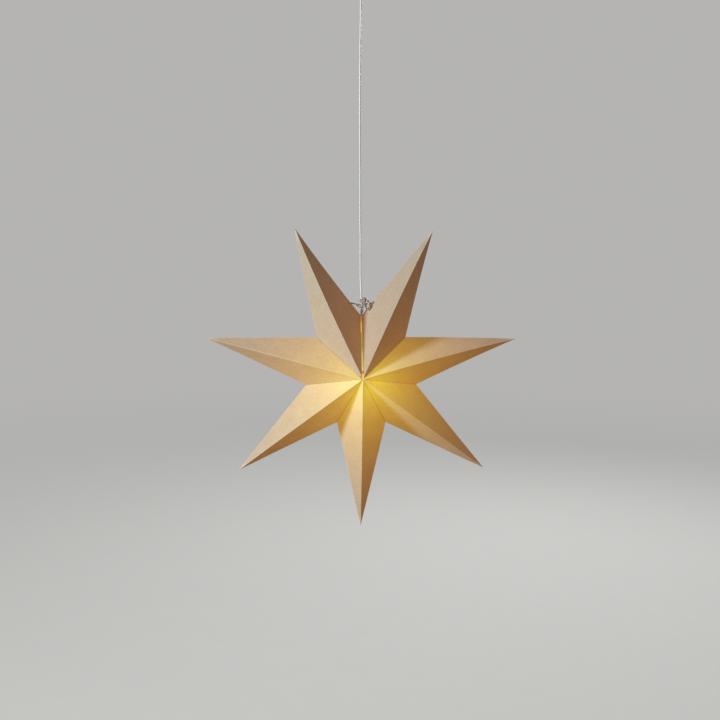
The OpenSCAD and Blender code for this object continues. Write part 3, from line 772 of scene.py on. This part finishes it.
class ADVENT_OT_tie(bpy.types.Operator):
    """Thread the tie string through both tie holes and knot it round the lead"""
    bl_idname = "advent.tie"
    bl_label = "Tie string"

    def execute(self, context):
        s = context.scene.advent_tie
        star = context.scene.advent_star
        lead = context.scene.advent_lead
        shape = PointShape(star)
        side = np.array([-star.valley_radius * shape.sin, star.tip_radius - star.valley_radius * shape.cos])
        side /= np.linalg.norm(side)
        up, inward = 34, 3  # tie hole above the inner corner and in from the fold
        local = np.array([star.valley_radius * shape.sin, star.valley_radius * shape.cos]) / MM
        local += side * up + np.array([-side[1], side[0]]) * inward
        x = -local[0] * shape.cos + local[1] * shape.sin
        z = local[0] * shape.sin + local[1] * shape.cos
        base = (0, 0, STAR_Z + z * MM)
        string_r, clear, bulge = 1, 0.05, 2.2
        past = lead.wide / 2 / MM + string_r + clear  # beside the lead
        over = inward * star.half_depth / star.valley_radius + string_r + bulge  # outside the card at its hole
        half = [
            (0, past, 0), (6, past + 0.6, 0), (12, past + 1.6, 0.5),
            (x - 5, over - 0.6, 0.5), (x - 2, over, 0.2), (x - 0.4, over - 1, 0),
        ]
        sag = 3.5
        half = [(a, b, c - sag * (1 - (a / x) ** 2)) for a, b, c in half]
        band = [(a, -b, c) for a, b, c in half] + [(x, -2, 0), (x, 2, 0)] + half[::-1]
        band += [(-a, b, c) for a, b, c in half[1:]] + [(-x, 2, 0), (-x, -2, 0)]
        band += [(-a, -b, c) for a, b, c in half[:0:-1]]
        # the knot lies in front of the lead at f: a trefoil, a loop round it, a ring and two short ends
        f = -past - string_r
        t = np.linspace(0, 2 * math.pi, 41)[:-1]
        knot = np.stack([
            4.5 + 2.2 * (np.sin(t) + 2 * np.sin(2 * t)),
            f - 2.8 - 1.7 * np.sin(3 * t),
            1.5 + 2.3 * (np.cos(t) - 2 * np.cos(2 * t)),
        ], axis=1)
        upward = [
            (1.2, f - 4.0, -7.5), (0.9, f - 4.8, -2), (1.3, f - 4.8, 4), (2.2, f - 4.0, 8.5),
            (4.2, f - 3.0, 10.6), (6.6, f - 2.6, 9), (7.4, f - 3.2, 5.5), (6.4, f - 3.8, 2),
        ]
        ring = [
            (7, f - 3.0, -0.5), (10, f - 3.4, -0.8), (13, f - 3.6, -2), (15.4, f - 3.6, -4.5),
            (15.9, f - 3.6, -8), (14.2, f - 3.6, -11.2), (11.4, f - 3.6, -12), (9.2, f - 3.4, -10),
            (8.6, f - 3.2, -6.5), (7.6, f - 3.0, -3),
        ]
        right = [(6.5, f - 2.6, 3), (9, f - 2.8, 4.2), (12, f - 3.2, 4), (14.6, f - 3.8, 2.4)]
        left = [(0.5, f - 3.2, -8.5), (-3.5, f - 3.2, -7.5), (-7.5, f - 3.4, -4.8), (-11.5, f - 3.6, -2.2)]
        t = t[::2]
        wrap = np.stack([3.6 + 2.1 * np.cos(t), f - 3.6 - 1.6 * np.cos(t), 0.5 + 7.6 * np.sin(t)], axis=1)
        # two strands that run down into the top of the open seam: x, forward of f, z
        down = (
            ((2.6, -2.6, -5), (2.4, -1.8, -10), (1.5, -0.9, -15), (0.7, 0.2, -20), (0.2, 1.6, -24)),
            ((-0.9, -2.6, -6), (-0.8, -1.8, -11), (-0.5, -0.6, -16), (-0.1, 0.6, -20), (0, 2, -24.5)),
        )
        strands = [
            string_strand(s, wrap, base, 1.9, closed=True),
            *(string_strand(s, [(a, f + b, c) for a, b, c in run], base, 1.6) for run in down),
            string_strand(s, band, base, closed=True, level=(0, 0, 1)),
            string_strand(s, knot, base, 2.2, closed=True),
            string_strand(s, upward, base, 2.0),
            string_strand(s, ring, base, 1.7),
            string_strand(s, right, base, 1.3),
            string_strand(s, left, base, 1.1),
        ]
        m = Finish("tie_cord", Roughness=0.42, Specular_IOR_Level=0.6)
        crown = m.attribute("crown").step(0.15, 0.65)
        hair = m.noise(1400.0, 3.0, 0.6)
        patch = m.noise(160.0, 2.0)
        pale = m.mix(patch.step(0.3, 0.75), tuple(s.pale), toned(s.pale, (0.55, 0.48, 0.42)))
        # painted shade in the grooves and a painted highlight on the crowns, over patches of the string's own
        # tone
        m.set(Base_Color=m.mix(crown * (0.55 + 0.5 * hair), tuple(s.groove_shade), pale))
        m.set(Roughness=0.24 + 0.2 * hair)
        m.bump(hair, 0.00012, 0.7)
        add_piece("tie_string_twisted", strands, [m.material], ["tie_string"])
        return {"FINISHED"}


# turned pieces


def turned(profile, base_z, segments=96):
    """Closed profile of (radius, height, rounding) corners in millimetres, turned about the vertical axis.

    A corner c between a and b becomes the quadratic curve from c + k(a - c) over c to c + k(b - c).
    """
    p = np.array([q[:2] for q in profile], float)
    k = np.array([q[2] for q in profile], float)
    before, after = np.roll(p, 1, axis=0) - p, np.roll(p, -1, axis=0) - p
    sides = (np.linalg.norm(e, axis=1) for e in (before, after))
    reach = [(np.minimum(k, 0.45 * side) / side)[:, None] for side in sides]
    on_axis = (p[:, 0] < 1e-6)[:, None]
    u = np.linspace(0, 1, 5)[:, None, None]
    curve = p + (1 - u) ** 2 * before * reach[0] + u**2 * after * reach[1]
    curve = np.where(on_axis, p, curve).transpose(1, 0, 2).reshape(-1, 2) * MM
    angle = np.linspace(0, 2 * math.pi, segments + 1)[:-1]
    r, z = curve[:, :1], curve[:, 1:]
    rings = np.stack([r * np.cos(angle), r * np.sin(angle), z + base_z + 0 * angle], axis=-1)
    quads = grid_quads(len(curve), segments, close_rows=True, close_cols=True)
    return rings.reshape(-1, 3), quads, {}


def plastic_finish(name, base, roughness, inside_glow=0.0):
    """Moulded plastic: faint flow marks, slight yellowing and a satin surface."""
    f = Finish(name, Roughness=roughness, Specular_IOR_Level=0.5)
    flow = f.noise(60.0, 4.0, 0.55)
    pore = f.noise(1500.0, 2.0, 0.5)
    f.set(Base_Color=f.mix(flow, tuple(base), toned(base, (0.95, 0.94, 0.90))))
    f.set(Roughness=roughness - 0.06 + 0.14 * flow)
    f.bump(pore, 0.00004, 0.5)
    # the bulb's light on the holder, painted in as an orange glow
    if inside_glow:
        f.set(Emission_Color=(1.0, 0.60, 0.13), Emission_Strength=inside_glow)
        f.material.cycles.emission_sampling = "NONE"
    return f.material


def metal_finish(name, base, roughness, stretch):
    """Drawn or plated metal: fine lines along the draw and duller patches."""
    f = Finish(name, Metallic=1.0, Roughness=roughness)
    line = f.noise(700.0, 3.0, 0.6, stretch=stretch)
    dull = f.noise(120.0, 4.0, 0.6)
    f.set(Base_Color=f.mix(dull.step(0.3, 0.8), tuple(base), tuple(c * 0.72 for c in base)))
    f.set(Roughness=roughness - 0.08 + 0.12 * line + 0.12 * dull)
    f.bump(line, 0.00004, 0.6)
    return f.material


def dress(name, material):
    """A CAD node that keeps its shape takes the material in every slot."""
    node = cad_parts[name]
    if not node.data.materials:
        node.data.materials.append(material)
    for slot in node.material_slots:
        slot.link = "DATA"
        slot.material = material


class ADVENT_OT_lamp(bpy.types.Operator):
    """Turn the lamp holder and the frosted bulb and finish their contacts"""
    bl_idname = "advent.lamp"
    bl_label = "Lamp holder and bulb"

    def execute(self, context):
        s = context.scene.advent_lamp
        cap_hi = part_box("holder_cap")[1]
        sleeve = 16  # height of the sleeve above the cap's shoulder
        top = cap_hi.z - sleeve * MM
        r = cap_hi.x / MM
        bore, neck = 3, r - 1.6
        white = plastic_finish("holder_plastic", s.plastic, 0.42, 0.20)
        cap = [
            (bore, sleeve, 0.2), (bore + 1.1, sleeve, 0.5), (5.5, -4, 1.2), (8, -5, 1.0), (r - 2.5, -8, 2.0),
            (r - 0.8, -11, 1.5), (r, -15, 1.5), (r, -20, 0.3), (neck + 0.1, -20, 0.1), (neck + 0.1, -14, 0.1),
            (neck - 1, -11.5, 1), (8, -7, 1), (bore, -6, 0.3),
        ]
        add_piece("holder_cap_turned", [turned(cap, top)], [white], ["holder_cap"])
        core = neck - 1.7
        skirt = core - 1.6
        shell = [
            (neck, -14.2, 0.1), (neck, -20, 0.1), (r, -20, 0.3), (r, -54.5, 1), (r - 1, -56, 0.8),
            (skirt, -56, 0.4), (skirt, -34, 0.1), (core + 0.1, -34, 0.1), (core + 0.1, -14.2, 0.1),
        ]
        near_bulb = plastic_finish("holder_plastic_near_bulb", s.plastic, 0.42, 0.36)
        shell_ring = turned(shell, top)
        add_piece("holder_shell_turned", [shell_ring], [near_bulb], ["holder_shell"])
        globe_r = BULB_HI.x / MM
        skirt_z = -(BULB_HI.z - 3 * MM - top) / MM
        globe_z = skirt_z + globe_r + 7
        arc = np.radians(np.arange(50, 181, 5))
        outer = [(6.5, -skirt_z + 3, 0.1), (6.5, -skirt_z - 1, 1.5), (8.5, -skirt_z - 5, 2.5)]
        within = globe_r - 0.8
        outer += [(globe_r * math.sin(a), -globe_z + globe_r * math.cos(a), 1.0) for a in arc[1:]]
        inner = [(within * math.sin(a), -globe_z + within * math.cos(a), 1.0) for a in arc[:0:-1]]
        inner += [(7.7, -skirt_z - 5.4, 2), (5.7, -skirt_z - 1, 1), (5.7, -skirt_z + 3, 0.1)]
        g = Finish("frosted_glass", Roughness=0.35, Base_Color=(0.9, 0.85, 0.75))
        frost = g.noise(300.0, 2.0)
        g.set(Roughness=0.30 + 0.2 * frost)
        warm = tuple(s.warm)
        hot = tuple(min(1.0, c * 1.15) for c in warm)
        g.set(Emission_Color=g.mix(frost * 0.4, warm, hot), Emission_Strength=s.power)
        add_piece("bulb_globe", [turned(outer + inner, top)], [g.material], ["bulb_glass"])
        brass = metal_finish("contact_brass", (0.78, 0.60, 0.30), 0.34, (0.1, 0.1, 1.0))
        for name in ("thread_shell", "centre_contact", "bulb_cap"):
            dress(name, brass)
        dress("holder_core", plastic_finish("insulator", (0.74, 0.72, 0.66), 0.55))
        return {"FINISHED"}


class ADVENT_OT_fitting(bpy.types.Operator):
    """Turn the ceiling cup and the cord grip and finish the bar, tube, nut and terminal block"""
    bl_idname = "advent.fitting"
    bl_label = "Ceiling fitting"

    def execute(self, context):
        s = context.scene.advent_fitting
        cup_lo, cup_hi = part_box("ceiling_cup")
        grip_lo, grip_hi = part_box("cord_grip")
        r, h = cup_hi.x / MM, -cup_lo.z / MM
        white = plastic_finish("white_plastic", s.plastic, 0.30)
        cup = [
            (r, 0, 0.4), (r, -h + 12, 9), (r - 2, -h + 5, 4), (r - 7, -h + 1, 4), (r - 12, -h, 5),
            (5.1, -h, 0.4), (5.1, -h + 2, 0.3), (r - 12, -h + 2, 4), (r - 8, -h + 3, 3), (r - 4, -h + 6, 3),
            (r - 2, -h + 12, 8), (r - 2, 0, 0.4),
        ]
        add_piece("ceiling_cup_turned", [turned(cup, 0.0, 144)], [white], ["ceiling_cup"])
        g, long = grip_hi.x / MM, (cup_lo.z - grip_lo.z) / MM
        grip = [
            (5.05, 0, 0.2), (g, 0, 0.6), (g, -12.5, 2.5), (4.1, -long, 0.5), (3, -long, 0.2), (3, -8, 0.2),
            (5.05, -8, 0.2),
        ]
        add_piece("cord_grip_turned", [turned(grip, cup_lo.z)], [white], ["cord_grip"])
        steel = metal_finish("plated_steel", s.steel, 0.32, (1.0, 0.04, 1.0))
        for name in ("ceiling_bar", "hanger_tube", "tube_nut"):
            dress(name, steel)
        dress("grip_screw", plastic_finish("screw_plastic", s.plastic, 0.36))
        dress("terminal_block", plastic_finish("block_plastic", (0.76, 0.76, 0.72), 0.46))
        return {"FINISHED"}


# stage


def lamp(name, toward, distance, size, brightness, aim):
    """Round area lamp at aim + distance toward.

    Power pi^2 distance^2 brightness lights a white surface that faces it to that brightness.
    """
    data = bpy.data.lights.new(name, "AREA")
    data.shape, data.size = "DISK", size
    data.energy = brightness * math.pi**2 * distance**2
    direction = Vector(toward).normalized()
    light = bpy.data.objects.new(name, data)
    light.location = Vector(aim) + direction * distance
    light.rotation_mode = "QUATERNION"
    light.rotation_quaternion = direction.to_track_quat("Z", "Y")
    light.visible_camera = False
    bpy.context.scene.collection.objects.link(light)


class ADVENT_OT_stage(bpy.types.Operator):
    """Set up the camera, the soft lamps, the pale floor and the surround"""
    bl_idname = "advent.stage"
    bl_label = "Stage"

    def execute(self, context):
        s = context.scene.advent_stage
        scene = context.scene
        scene.view_settings.view_transform = "Standard"
        middle = Vector((0, 0, STAR_Z))
        sa, ca, se, ce = math.sin(s.turn), math.cos(s.turn), math.sin(s.tilt), math.cos(s.tilt)
        right = Vector((ca, -sa, 0))
        forward = Vector((ce * sa, ce * ca, -se))
        up = Vector((se * sa, se * ca, ce))
        data = bpy.data.cameras.new("camera")
        data.sensor_width, data.lens = 36.0, s.lens
        data.clip_start, data.clip_end = 0.05, 60
        camera = bpy.data.objects.new("camera", data)
        place = middle - right * s.aside - forward * s.distance - up * s.above
        camera.matrix_world = Matrix.Translation(place) @ Matrix((right, up, -forward)).transposed().to_4x4()
        scene.collection.objects.link(camera)
        scene.camera = camera
        lamp("key_lamp", (-0.830, -0.475, 0.300), distance=2.15, size=0.34, brightness=s.key, aim=middle)
        lamp("back_lamp", (0.30, 0.90, 0.40), distance=3.5, size=1.2, brightness=s.back, aim=middle)

        # floor: a wide disc whose far part lets the surround through, so that no edge shows
        reach, rings, spokes = 9, 40, 96
        radius = np.linspace(0, reach, rings)[:, None]
        angle = np.linspace(0, 2 * math.pi, spokes + 1)[:-1]
        level = np.full((rings, spokes), s.floor)
        points = np.stack([radius * np.cos(angle), radius * np.sin(angle), level], axis=-1).reshape(-1, 3)
        first, faces, _ = weld(points, grid_quads(rings, spokes, close_cols=True))
        mesh = bpy.data.meshes.new("floor")
        mesh.from_pydata(points[first].tolist(), [], faces)
        floor = bpy.data.objects.new("floor", mesh)
        scene.collection.objects.link(floor)
        f = Finish("floor_paint", Roughness=0.9)
        rays = ("Is Camera Ray", "Is Glossy Ray", "Is Transmission Ray")
        camera_ray, glossy_ray, through = (f.node("ShaderNodeLightPath", out=kind) for kind in rays)
        seen = camera_ray.math("MAXIMUM", camera_ray, glossy_ray.math("MAXIMUM", glossy_ray, through))
        grain = f.noise(14.0, 5.0, 0.6)
        pale = tuple(s.backdrop)
        shown = f.mix(grain, tuple(c * 0.58 for c in pale), tuple(c * 0.64 for c in pale))
        f.set(Base_Color=f.mix(seen, (0.26, 0.235, 0.13), shown))
        f.set(Emission_Color=f.scaled(tuple(c * 0.74 for c in pale), seen), Emission_Strength=1.0)
        f.bump(grain, 0.0005, 0.15)
        where = f.node("ShaderNodeVectorMath", {"operation": "LENGTH"}, {0: f.place()}, out="Value")
        f.set(Alpha=1 - where.step(2.6, 6.5))
        mesh.materials.append(f.material)

        world = bpy.data.worlds.new("surround")
        world.use_nodes = True
        scene.world = world
        tree = world.node_tree
        tree.nodes.clear()
        path, out = tree.nodes.new("ShaderNodeLightPath"), tree.nodes.new("ShaderNodeOutputWorld")
        clear, mixed = tree.nodes.new("ShaderNodeMath"), tree.nodes.new("ShaderNodeMixShader")
        glossy = tree.nodes.new("ShaderNodeMath")
        clear.operation = glossy.operation = "MAXIMUM"
        around, behind = tree.nodes.new("ShaderNodeBackground"), tree.nodes.new("ShaderNodeBackground")
        around.inputs["Color"].default_value = (*s.ambient, 1)
        behind.inputs["Color"].default_value = (*pale, 1)
        for a, b in (
            (path.outputs["Is Camera Ray"], clear.inputs[0]),
            (path.outputs["Is Transmission Ray"], clear.inputs[1]),
            (clear.outputs[0], glossy.inputs[0]),
            (path.outputs["Is Glossy Ray"], glossy.inputs[1]),
            (glossy.outputs[0], mixed.inputs[0]),
            (around.outputs[0], mixed.inputs[1]),
            (behind.outputs[0], mixed.inputs[2]),
            (mixed.outputs[0], out.inputs["Surface"]),
        ):
            tree.links.new(a, b)
        return {"FINISHED"}


SETTINGS = {
    "advent_star": StarSettings,
    "advent_lead": LeadSettings,
    "advent_tie": TieSettings,
    "advent_lamp": LampSettings,
    "advent_fitting": FittingSettings,
    "advent_stage": StageSettings,
}
STEPS = (ADVENT_OT_stage, ADVENT_OT_lead, ADVENT_OT_star, ADVENT_OT_tie, ADVENT_OT_lamp, ADVENT_OT_fitting)


class ADVENT_PT_panel(bpy.types.Panel):
    """Sizes and colours of the star, and a button for each group of pieces"""
    bl_idname = "ADVENT_PT_panel"
    bl_label = "Advent star"
    bl_space_type = "VIEW_3D"
    bl_region_type = "UI"
    bl_category = "Advent star"

    def draw(self, context):
        for step in STEPS:
            self.layout.operator(step.bl_idname)
        for name, group in SETTINGS.items():
            box = self.layout.box()
            for key in group.__annotations__:
                box.prop(getattr(context.scene, name), key)


def register():
    for group in (*SETTINGS.values(), *STEPS, ADVENT_PT_panel):
        bpy.utils.register_class(group)
    for name, group in SETTINGS.items():
        setattr(bpy.types.Scene, name, PointerProperty(type=group))


def unregister():
    for name in SETTINGS:
        delattr(bpy.types.Scene, name)
    for group in (ADVENT_PT_panel, *reversed(STEPS), *reversed(SETTINGS.values())):
        bpy.utils.unregister_class(group)


def main():
    register()
    for step in STEPS:
        group, name = step.bl_idname.split(".")
        getattr(getattr(bpy.ops, group), name)()


if __name__ == "__main__":
    main()
